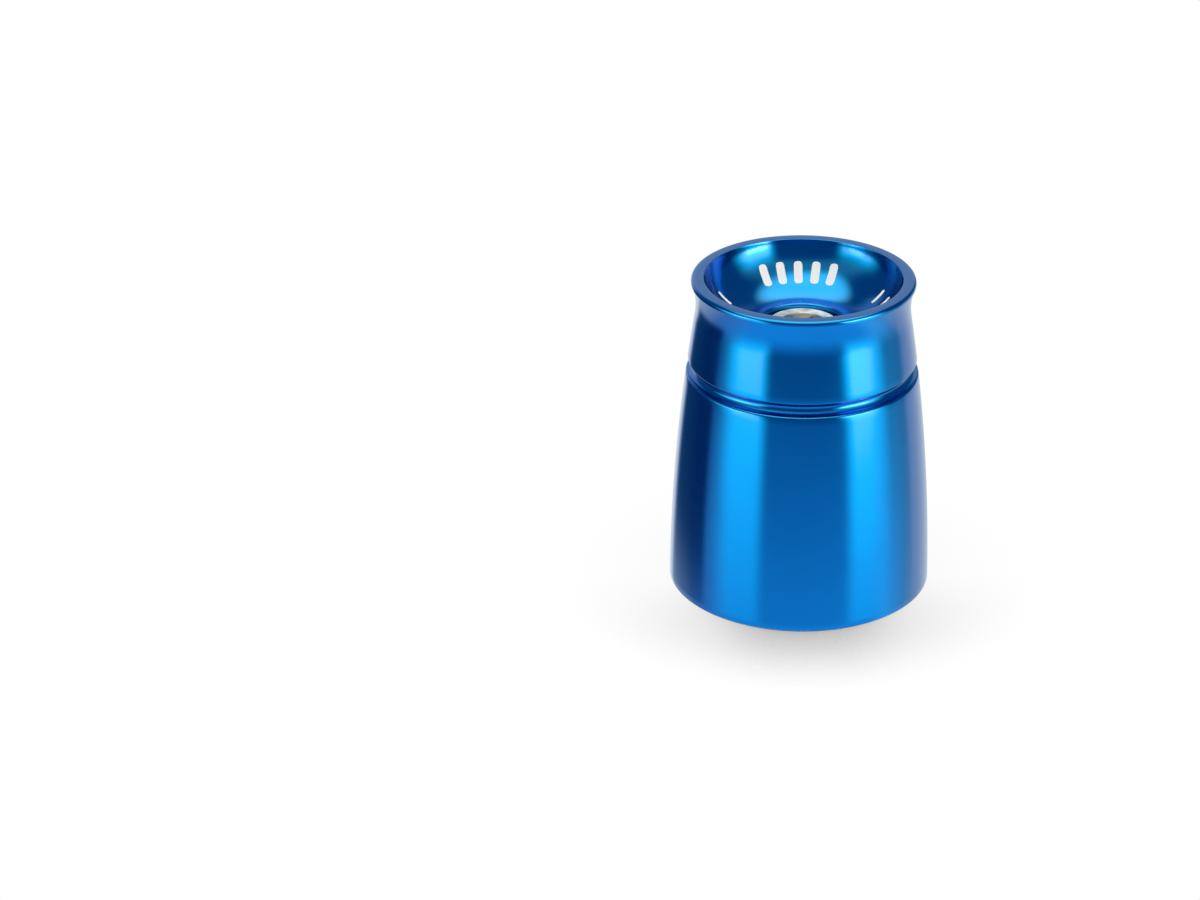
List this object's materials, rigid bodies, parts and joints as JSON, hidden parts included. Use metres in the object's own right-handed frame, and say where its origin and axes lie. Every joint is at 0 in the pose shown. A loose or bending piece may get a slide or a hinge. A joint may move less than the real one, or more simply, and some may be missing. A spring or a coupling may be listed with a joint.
{
  "type": "bar end weight",
  "caption": "Turned aluminium handlebar end weight: crowned taper, round-bottomed groove, flared and dished outer end, with a cap screw through its middle.",
  "frame": {"origin": "centre of the wide flat face that seats against the end of the handlebar", "axes": "+Z along the turning axis, towards the dished outer end; X points at a corner of the screw's hexagon socket"},
  "size_m": [0.035, 0.035, 0.0624],
  "materials": {
    "blue_anodised": "satin turned, blue anodised",
    "screw_steel": "bright zinc plated steel"
  },
  "bodies": {
    "root": {"weight_body": "blue_anodised", "cap_screw": "screw_steel"}
  },
  "joints": []
}
